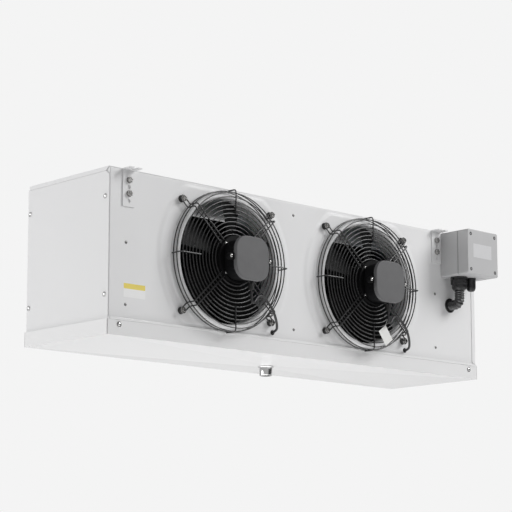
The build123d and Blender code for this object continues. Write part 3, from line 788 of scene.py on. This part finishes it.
# ---- fans ----
@dataclass
class Fan:
    """One axial fan: wire guard, motor, lid, impeller, rotor and lead."""

    number: int
    x: float
    run_y: float
    riser_x: float
    body: Body
    guard_depth: float = 36.0
    guard_r: float = 168.0
    guard_pitch: float = 10.4
    rings: int = 11
    side_ring_r: float = 174.0
    foot_r: float = 201.0
    diagonals: tuple[int, ...] = (43, 137, 223, 317)
    foot_depth: float = 11.75
    motor_shift: float = -4.0
    lid_screw_reach: float = 64.0
    clamp_r: float = 53.0
    blades: int = 5
    blade_root: float = 53.0
    blade_length: float = 99.0
    blade_stations: tuple[float, float, float] = (45.0, 95.0, 158.0)

    @property
    def axis(self) -> Axis:
        """The fan's own frame."""
        return Axis((self.x, FRONT, FAN_Z))

    def node(self, name: str) -> str:
        """CAD node of this fan by its last part."""
        return f"fan_{self.number}_{name}"

    def spot(self, r: float, s: float, depth: float, angle: float) -> Point:
        """Point by radius, sideways shift, depth and direction.

        Args:
            r: millimetres from the fan axis.
            s: sideways shift.
            depth: millimetres before the front.
            angle: direction in degrees.

        Returns:
            The point in millimetres.
        """
        cos, sin = math.cos(math.radians(angle)), math.sin(math.radians(angle))
        return self.axis.at(r * cos - s * sin, r * sin + s * cos, depth)

    def shared(self, node: str) -> list[str]:
        """Node that both fans' pieces stand for; the first fan's piece takes it."""
        return [node] if self.number == 1 else []

    def guard(self) -> None:
        """Welded wire guard: rings, short cross wires and double wires with looped feet."""
        circles = [(self.guard_r - i * self.guard_pitch, self.guard_depth)
                   for i in range(self.rings)]
        circles += [(self.side_ring_r, 19.0), (self.side_ring_r, 7.0)]
        paths = [[self.axis.at(r * math.cos(t), r * math.sin(t), d)
                  for t in np.linspace(0, 2 * math.pi, 96, endpoint=False)] for r, d in circles]
        rings = wire(self.node("guard_rings"), paths, 1.45, cyclic=True, sides=2)
        dress(rings, Finishes.GUARD, [self.node("guard")])
        top, outside = self.guard_depth + 3.1, self.side_ring_r + 3.1
        spokes = []
        for angle in range(0, 360, 90):
            corners = [(114, 0, top), (outside, 0, top), (outside, 0, 5.5)]
            spokes.append(rounded_path([self.spot(r, s, d, angle) for r, s, d in corners], 9))
        leg = [(50, 6, top), (outside, 6, top), (outside, 6, self.foot_depth + 1),
               (outside + 6, 6, self.foot_depth), (self.foot_r + 7.5, 6, self.foot_depth)]
        loop = leg + [(r, -s, d) for r, s, d in reversed(leg)]
        for angle in self.diagonals:
            spokes.append(rounded_path([self.spot(r, s, d, angle) for r, s, d in loop], 6))
        dress(wire(self.node("guard_spokes"), spokes, 1.75), Finishes.GUARD)

    def feet(self) -> None:
        """Rubber bushes and hex bolts under the guard's feet."""
        bushes, bolts = [], []
        profile = [(0.5, 3), (8.8, 3), (9, 4), (8.2, 6), (7.6, 9), (7, 10), (0.5, 10)]
        for angle in self.diagonals:
            foot = Axis(self.spot(self.foot_r, 0, 0, angle))
            bushes.append(lathe("bush", foot, profile, 32))
            top = Axis(self.spot(self.foot_r, 0, self.foot_depth + 1.75, angle))
            bolts += screw("guard_bolt", top, 10.0, 4.0, 16.0, 1.5)
            bolts.append(plate("shank", foot, circle_outline(3, 16), 3, self.foot_depth + 1.8))
        dress(join(self.node("bushes"), bushes), Finishes.RUBBER, self.shared("guard_bushes"))
        dress(join(self.node("foot_bolts"), bolts), Finishes.ZINC, self.shared("guard_bolts"))

    def motor(self) -> None:
        """Motor flange, housing, lid with ears, screws and cable gland."""
        shift = self.motor_shift
        housing = rounded_outline(98, 98, 32, 12, shift)
        cover = rounded_outline(108, 108, 36, 14, shift)
        ears = rounded_outline(140, 16, 7.5, 6, shift)
        flange = plate(self.node("flange"), self.axis, circle_outline(59.5, 72), 41, 46, 1.0)
        neck = plate("neck", self.axis, circle_outline(44, 48), 46, 52)
        body = plate("housing", self.axis, housing, 52, 88.9, 2.5)
        back_ears = plate("ears", self.axis, ears, 80, 88.9, 1.2)
        dress(flange, Finishes.MOTOR, [self.node("motor")])
        for piece in (neck, body, back_ears):
            dress(piece, Finishes.MOTOR)
        dress(plate(self.node("lid"), self.axis, cover, 89, 101, 2.6, 5), Finishes.LID,
              [self.node("motor_lid")])
        dress(plate("tabs", self.axis, ears, 89, 93, 1.2), Finishes.MOTOR)
        screws = []
        for side in (-1, 1):
            spot = Axis(self.axis.at(side * self.lid_screw_reach, shift, 93))
            screws += screw("lid_screw", spot, -8.6, 2.8, recess=1.6)
        for angle in self.diagonals:
            spot = Axis(self.spot(self.clamp_r, 0, 46, angle))
            screws += screw("clamp_screw", spot, -7.0, 2.4, recess=1.3)
        dress(join(self.node("screws"), screws), Finishes.ZINC, self.shared("motor_screws"))
        down = Axis.down(self.axis.at(30, -56, 62))
        gland = plate(self.node("gland_nut"), down, circle_outline(8.4, 6), 0, 8, 0.6)
        dome = lathe(self.node("gland_dome"), down,
                     [(0.5, 8), (7, 8), (7, 14), (6.2, 16.6), (4.2, 18), (0.5, 18)], 32)
        dress(gland, Finishes.RUBBER, self.shared("lead_glands"))
        dress(dome, Finishes.RUBBER)

    def blade(self, turn: float) -> Piece:
        """One sickle blade of the impeller.

        Args:
            turn: its direction about the fan axis, degrees.

        Returns:
            The blade.
        """
        across, out = np.linspace(-0.5, 0.5, 17), np.linspace(0, 1, 15)
        points = []
        for side in (1, -1):
            for u in across:
                for v in out:
                    r = self.blade_root + v * self.blade_length
                    chord, pitch, lead = (np.interp(r, self.blade_stations, values) for values in
                                          ((70, 88, 104), (38, 29, 21), (-6, 2, 26)))
                    pitch = math.radians(pitch)
                    bow = 1 - 4 * u * u
                    camber = 5.0 * bow + side * 1.25 * math.sqrt(max(0.0, bow))
                    flat = u * chord * math.cos(pitch) - camber * math.sin(pitch) + lead
                    rise = u * chord * math.sin(pitch) + camber * math.cos(pitch) - 10
                    angle = math.radians(turn) + flat / r
                    points.append(self.axis.at(r * math.cos(angle), r * math.sin(angle), rise))
        rows, cols = len(across), len(out)
        far = rows * cols
        quads = grid_faces(rows, cols)
        faces = [quad[::-1] for quad in quads] + [tuple(far + v for v in quad) for quad in quads]
        for i in range(rows - 1):
            a = i * cols + cols - 1
            faces.append((a, a + cols, far + a + cols, far + a))
        return mesh_object("blade", points, faces, 50)

    def wheel(self) -> None:
        """Impeller and external rotor, both turning."""
        blades = [self.blade(360 * i / self.blades) for i in range(self.blades)]
        hub = lathe("hub", self.axis, [(20, -28), (20, -31), (54, -31), (56, -29), (56, 13),
                                       (55, 14), (52.4, 14), (52.4, -28)], 96, True, 40)
        dress(join(self.node("impeller_wheel"), blades + [hub]), Finishes.BLADE,
              [self.node("impeller")], body=self.body)
        rotor = lathe(self.node("rotor_can"), self.axis,
                      [(0.5, -28), (19.5, -28), (20, -28), (52, -28), (52, 31), (50.5, 33.4),
                       (48, 34), (6, 34), (6, 66), (0.5, 66)], 96, False, 40)
        dress(rotor, Finishes.MOTOR, [self.node("rotor")], body=self.body)

    def lead(self) -> None:
        """Motor lead along its route, and its panel grommet."""
        route = [(30, -64, 62), (30, -99, 62), (42, -107, 58), (64, -83, 50), (88, -82, 46),
                 (120.5, -112.5, 45), (150, -140, 28), (160, -160, 16)]
        points = [self.axis.at(a, b, d) for a, b, d in route]
        entry = self.axis.at(160, -160, 0)
        points += [(entry[0], self.run_y, entry[2]), (self.riser_x, self.run_y, entry[2]),
                   (self.riser_x, self.run_y, -203), (self.riser_x, CORD_END, -203)]
        dress(cord_curve(self.node("lead_cord"), points, 3.2), Finishes.LEAD, [self.node("lead")])
        profile = [(3.4, -1.5), (5, -1.5), (5, 0), (6.4, 0), (6.4, 1.2), (5.6, 2), (3.4, 2)]
        grommet = lathe(self.node("grommet"), Axis(entry), profile, 32, True)
        dress(grommet, Finishes.RUBBER, self.shared("lead_grommets"))

    def build(self) -> None:
        """Makes the whole fan."""
        self.guard()
        self.feet()
        self.motor()
        self.wheel()
        self.lead()


# ---- junction box ----
@dataclass
class JunctionBox:
    """Terminal box with lid, seal, glands and corrugated conduit."""

    x: float = 577.75
    z: float = -66.0
    width: float = 126.5
    height: float = 124.0
    base_depth: float = 62.0
    seal: float = 2.0
    lid_depth: float = 36.0
    screw_reach: tuple[float, float] = (50.0, 49.0)
    label_size: tuple[float, float] = (76.0, 38.0)
    conduit_x: float = 551.0
    conduit_y: float = -194.0
    conduit_z: float = -203.0
    supply_x: float = 590.0
    supply_y: float = -203.0

    def build(self) -> None:
        """Makes the box from the panel outward, then the glands and the conduit."""
        axis = Axis((self.x, FRONT, self.z))
        outline = rounded_outline(self.width, self.height, 6)
        base = plate("box_base", axis, outline, 0, self.base_depth, 1.0)
        dress(base, Finishes.BOX, ["junction_box_base", "terminal_block"])
        gasket = plate("box_gasket", axis, rounded_outline(self.width - 0.6, self.height - 0.6, 6),
                       self.base_depth, self.base_depth + self.seal)
        dress(gasket, Finishes.GASKET, ["junction_box_seal"])
        start = self.base_depth + self.seal
        lid = plate("box_lid", axis, outline, start, start + self.lid_depth, 2.2, 5)
        dress(lid, Finishes.BOX, ["junction_box_lid"])
        face = start + self.lid_depth
        recess = [(0.01, 0.1), (1.2, 0.1), (1.5, 0.38), (4.6, 0.38), (5.2, 0.3), (5.4, 0.0)]
        across, up = self.screw_reach
        screws = [lathe("recess", Axis(axis.at(a, b, face - 0.35)), recess, 24)
                  for a in (-across, across) for b in (-up, up)]
        dress(join("box_screws", screws), Finishes.SEAL, ["box_lid_screws"])
        label = rounded_outline(*self.label_size, 1.5, 3)
        dress(plate("box_label", Axis(axis.at(-2, 4, face)), label, 0, 0.15), Finishes.PLATE)
        self.glands()
        self.conduit()

    def glands(self) -> None:
        """Large gland with the conduit and the small empty one."""
        foot = self.z - self.height / 2
        down = Axis.down((self.conduit_x, self.conduit_y, foot))
        nut = plate("gland_ring", down, circle_outline(23.8, 48), 0.05, 6, 1.2)
        body = plate("gland_hex", down, circle_outline(25.2, 6, 30), 6.4, 22, 1.5)
        dome = lathe("gland_dome", down, [(14.3, 22), (21, 22), (21, 27), (19.6, 32.5), (16.4, 36),
                                          (14.3, 36)], 48, True)
        dress(nut, Finishes.GLAND, ["conduit_gland"])
        for piece in (body, dome):
            dress(piece, Finishes.GLAND)
        small = Axis.down((self.supply_x, self.supply_y, foot))
        profile = [(6, 0.05), (14, 0.05), (14, 5), (13, 5.4), (13, 25), (12.2, 30), (9.6, 34.6),
                   (8, 36), (6, 36), (6, 20)]
        dress(lathe("supply_gland_body", small, profile, 48, True), Finishes.GLAND,
              ["supply_gland"])

    def conduit(self) -> None:
        """Corrugated conduit from the large gland into the panel, and its bush."""
        x, y, z = self.conduit_x, self.conduit_y, self.conduit_z
        corners = [(x, y, -150), (x, y, z), (x, CORD_END, z)]
        path = [Vector(p) for p in rounded_path(corners, 18, 24)]
        lengths = [0.0]
        for a, b in zip(path, path[1:]):
            lengths.append(lengths[-1] + (b - a).length)
        count = int(lengths[-1] / 1.0)
        points, sides = [], 32
        for i in range(count + 1):
            s = lengths[-1] * i / count
            k = min(int(np.searchsorted(lengths, s, side="right")) - 1, len(path) - 2)
            t = (s - lengths[k]) / max(1e-6, lengths[k + 1] - lengths[k])
            centre, ahead = path[k].lerp(path[k + 1], t), (path[k + 1] - path[k]).normalized()
            across = Vector((1, 0, 0))
            up = ahead.cross(across).normalized()
            radius = 12.9 + 1.1 * math.cos(2 * math.pi * s / 6.0)
            points += [centre + across * radius * math.cos(a) + up * radius * math.sin(a)
                       for a in np.linspace(0, 2 * math.pi, sides, endpoint=False)]
        hose = mesh_object("conduit_hose", points, grid_faces(count + 1, sides, False, True), 80)
        dress(hose, Finishes.CONDUIT, ["conduit"])
        profile = [(14.3, -3), (17, -3), (17, 0), (20, 0), (20, 1.8), (18.8, 3), (14.3, 3)]
        dress(lathe("bush_ring", Axis((x, FRONT, z)), profile, 48, True), Finishes.GLAND,
              ["conduit_bush"])


# ---- drain pan ----
@dataclass
class DrainPan:
    """Hinged pan with hemmed lip, cross-broken bottom, spigot and screws."""

    half_x: float = 658.0
    half_y: float = 161.0
    foot: float = -400.0
    drop: float = 5.0
    side_top: float = -363.0
    lip_top: float = -358.0
    sheet: float = 1.5
    screw_x: float = 623.0
    screw_z: float = -374.5
    flat: float = 23.0
    hem: tuple[float, float] = (1302.0, 5.5)

    def bottom(self) -> Piece:
        """Cross-broken bottom sheet, thick enough to be seen from both sides.

        Returns:
            The sheet.
        """
        points, faces = [], []
        for level in (0.0, self.sheet):
            points += [(sx * (self.half_x - level), sy * (self.half_y - level), self.foot + level)
                       for sx, sy in CORNERS]
            points += [(sx * self.flat, sy * self.flat, self.foot - self.drop + level)
                       for sx, sy in CORNERS]
        for base in (0, 8):
            faces += [(base + i, base + (i + 1) % 4, base + 4 + (i + 1) % 4, base + 4 + i)
                      for i in range(4)]
            faces.append((base + 4, base + 5, base + 6, base + 7))
        faces += [(i, (i + 1) % 4, 8 + (i + 1) % 4, 8 + i) for i in range(4)]
        return mesh_object("pan_bottom", points, faces, 0.2)

    def walls(self) -> list[Piece]:
        """Four walls and the rolled hem of the front lip.

        Returns:
            Walls and hem.
        """
        pieces = []
        t = self.sheet
        for side in (-1, 1):
            axis = Axis.outward(side, (side * self.half_x, 0, 0))
            outline = [(side * y * self.half_y, z) for y, z in
                       ((-1, self.foot), (1, self.foot), (1, self.side_top), (-1, self.side_top))]
            pieces.append(plate(f"pan_side_{side}", axis, outline, -t, 0, 0.4))
        for y, out, top in ((-self.half_y, -1, self.lip_top), (self.half_y, 1, self.side_top)):
            axis = Axis.lengthwise(out, (0, y, 0))
            outline = [(-self.half_x, self.foot), (self.half_x, self.foot), (self.half_x, top),
                       (-self.half_x, top)]
            if out < 0:
                outline[2:4] = [(self.half_x, self.side_top), (self.half_x - 5, top),
                                (5 - self.half_x, top), (-self.half_x, self.side_top)]
            pieces.append(plate(f"pan_wall_{out}", axis, outline, -t, 0, 0.4))
        hem = Axis((0, -self.half_y, self.lip_top - self.hem[1] / 2))
        pieces.append(plate("pan_hem", hem, rounded_outline(*self.hem, 2.7, 6), 0, 1.5, 0.6))
        return pieces

    def build(self) -> None:
        """Makes the pan, its drain spigot and its screws."""
        dress(self.bottom(), Finishes.PAN, ["drain_pan"], body=Body.PAN)
        for piece in self.walls():
            dress(piece, Finishes.PAN, body=Body.PAN)
        down = Axis.down((0, 0, self.foot - self.drop))
        profile = [(13, 25), (13, -9.9), (17, -9.9), (17, 0), (20, 0), (20, 2.2), (19, 3),
                   (17.2, 3.4), (16.62, 4.6), (16.62, 23.6), (15.6, 25)]
        dress(lathe("spigot", down, profile, 64, True), Finishes.CHROME, ["drain_spigot"],
              body=Body.PAN)
        screws = []
        for side in (-1, 1):
            axis = Axis((side * self.screw_x, -self.half_y, self.screw_z))
            screws += screw("pan_screw", axis, -9.0, 2.0, 13.6, 1.2, recess=2.0)
        dress(join("pan_screw_heads", screws), Finishes.CHROME, ["pan_screws"], body=Body.PAN)


# ---- tag ----
@dataclass
class HangTag:
    """Blank card on a string tied to the second fan's guard."""

    corners: tuple[tuple[int, int], ...] = ((213, -313), (240, -349), (266, -330), (239, -294))
    depth: float = 47.0
    string: tuple[Point, ...] = ((249, -205, -237), (249.5, -207, -262), (244, -205.2, -285),
                                 (239.6, -204.9, -293.8))

    def build(self) -> None:
        """Makes the card and its hanging string."""
        axis = Axis((0, FRONT, 0))
        card = plate("tag", axis, self.corners, self.depth, self.depth + 0.5)
        dress(card, Finishes.CARD, ["tag_card"])
        cord = cord_curve("tag_cord", self.string, 0.6)
        dress(cord, Finishes.STRING, ["tag_string"])
        spline = [Vector(p) for p in self.string]
        log.info("tag string, corner to corner %.1f mm",
                 sum((b - a).length for a, b in zip(spline, spline[1:])))


# ---- kept CAD pieces ----
KEPT = {
    Finishes.WHITE: ["right_end_cover", "left_end_cover", "hanger_front_left",
                     "hanger_front_right", "hanger_rear_left", "hanger_rear_right"],
    Finishes.GALVANISED: ["left_tube_sheet", "right_tube_sheet", "centre_baffle"],
    Finishes.FINS: ["fin_pack"],
    Finishes.COPPER: ["return_bends_left", "return_bends_right", "suction_header",
                      "liquid_distributor"],
    Finishes.RUBBER: ["pipe_grommets"],
    Finishes.SEAL: ["drain_gasket"],
    Finishes.CHROME: ["drain_nut"],
    Finishes.ZINC: ["pan_nuts", "hinge_leaves_fixed", "hinge_leaves_pan"],
}


def finish_kept(nodes: dict[str, Piece]) -> None:
    """Puts finishes on the CAD pieces that are shown as they are.

    Args:
        nodes: CAD objects by node name.
    """
    for finish, names in KEPT.items():
        for name in names:
            for slot in nodes[name].material_slots:
                slot.material = finish.value.material()


# ---- studio ----
@dataclass
class Studio:
    """Camera, soft lamps, white surroundings and floor."""

    place: Point = (-3336.75, -3528.29, -1015.35)
    yaw: float = 0.7522114
    pitch: float = 0.1519310
    focal: float = 1872.363
    frame_width: float = 512.0
    horizon: float = 316.0
    floor_z: float = -1.62
    floor_half: float = 6.0
    background: float = 0.905
    ambient: float = 0.46
    dimmed: float = 0.06
    dim_side: Point = (0.68, -0.72, 0.14)
    dim_edge: tuple[float, float] = (0.6, 0.9)

    def camera(self) -> None:
        """Places the camera by its position, heading and focal length."""
        data = bpy.data.cameras.new("view")
        data.sensor_width = 36.0
        data.lens = self.focal * data.sensor_width / self.frame_width
        data.shift_y = (self.horizon - self.frame_width / 2) / self.frame_width
        data.clip_end = 100
        camera = add_object("view", data)
        heading = Vector((math.sin(self.yaw) * math.cos(self.pitch),
                          math.cos(self.yaw) * math.cos(self.pitch), math.sin(self.pitch)))
        right = Vector((math.cos(self.yaw), -math.sin(self.yaw), 0))
        turn = Matrix((right, right.cross(heading), -heading)).transposed().to_4x4()
        camera.matrix_world = Matrix.Translation(Vector(self.place) * MM) @ turn
        bpy.context.scene.camera = camera

    def lamp(self, name: str, place: Point, aim: Point, size: float, power: float) -> None:
        """Square area lamp.

        Args:
            name: object name.
            place: position in metres.
            aim: point it faces, metres.
            size: side in metres.
            power: watts.
        """
        data = bpy.data.lights.new(name, "AREA")
        data.size = size
        data.energy = power
        lamp = add_object(name, data)
        lamp.visible_camera = False
        lamp.location = place
        lamp.rotation_euler = (Vector(aim) - Vector(place)).to_track_quat("-Z", "Y").to_euler()

    def surroundings(self) -> None:
        """White background for the camera, softer light for the rest, dim on one side."""
        world = bpy.data.worlds.new("studio")
        bpy.context.scene.world = world
        world.use_nodes = True
        tree = world.node_tree
        place = add_node(tree, "TexCoord").outputs["Generated"]
        toward = add_node(tree, "VectorMath", {0: place, 1: self.dim_side},
                          operation="DOT_PRODUCT")
        dim = add_node(tree, "MapRange", {"Value": toward.outputs["Value"],
                                          "From Min": self.dim_edge[0],
                                          "From Max": self.dim_edge[1],
                                          "To Min": self.ambient, "To Max": self.dimmed},
                       interpolation_type="SMOOTHSTEP")
        light, level = tree.nodes["Background"], self.background
        feed(tree, light, {"Color": (1, 1, 1, 1), "Strength": dim.outputs["Result"]})
        white = add_node(tree, "Background", {"Color": (level, level, level, 1), "Strength": 1.0})
        rays = add_node(tree, "LightPath").outputs["Is Camera Ray"]
        mix = add_node(tree, "MixShader", {"Fac": rays, 1: light.outputs["Background"],
                                           2: white.outputs["Background"]})
        feed(tree, tree.nodes["World Output"], {"Surface": mix.outputs["Shader"]})

    def floor(self) -> None:
        """Pale floor under the hanging unit."""
        mesh = bpy.data.meshes.new("floor")
        mesh.from_pydata([(x * self.floor_half, y * self.floor_half, self.floor_z)
                          for x, y in CORNERS], [], [(0, 1, 2, 3)])
        floor = add_object("floor", mesh)
        pale = Finish("floor_pale", (0.80, 0.80, 0.80), (0.77, 0.77, 0.77), 0.7, patch=1.5)
        mesh.materials.append(pale.material())

    def build(self) -> None:
        """Sets up the whole studio."""
        self.camera()
        self.surroundings()
        self.floor()
        self.lamp("side", (-3.6, 1.2, 0.2), (-0.6, 0, -0.2), 1.8, 48)
        self.lamp("key", (2.9, -3.2, 2.6), (0, 0, -0.2), 2.4, 182)
        self.lamp("under", (0, 0.1, -1.55), (0, 0, -0.4), 2.4, 28.5)
        bpy.context.scene.view_settings.view_transform = "Standard"


def main() -> None:
    """Builds each sub-assembly in order."""
    logging.basicConfig(level=logging.INFO, format="%(message)s")
    finish_kept(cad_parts)
    builders: list[tuple[str, Callable[[], None]]] = [
        ("cabinet", Cabinet().build),
        ("fan 1", Fan(1, FAN_X[0], -120.0, 546.0, Body.FAN_1).build),
        ("fan 2", Fan(2, FAN_X[1], -140.0, 556.0, Body.FAN_2).build),
        ("junction box", JunctionBox().build),
        ("drain pan", DrainPan().build),
        ("tag", HangTag().build),
        ("studio", Studio().build),
    ]
    for name, build in builders:
        build()
        log.info("built %s", name)


if __name__ == "__main__":
    main()
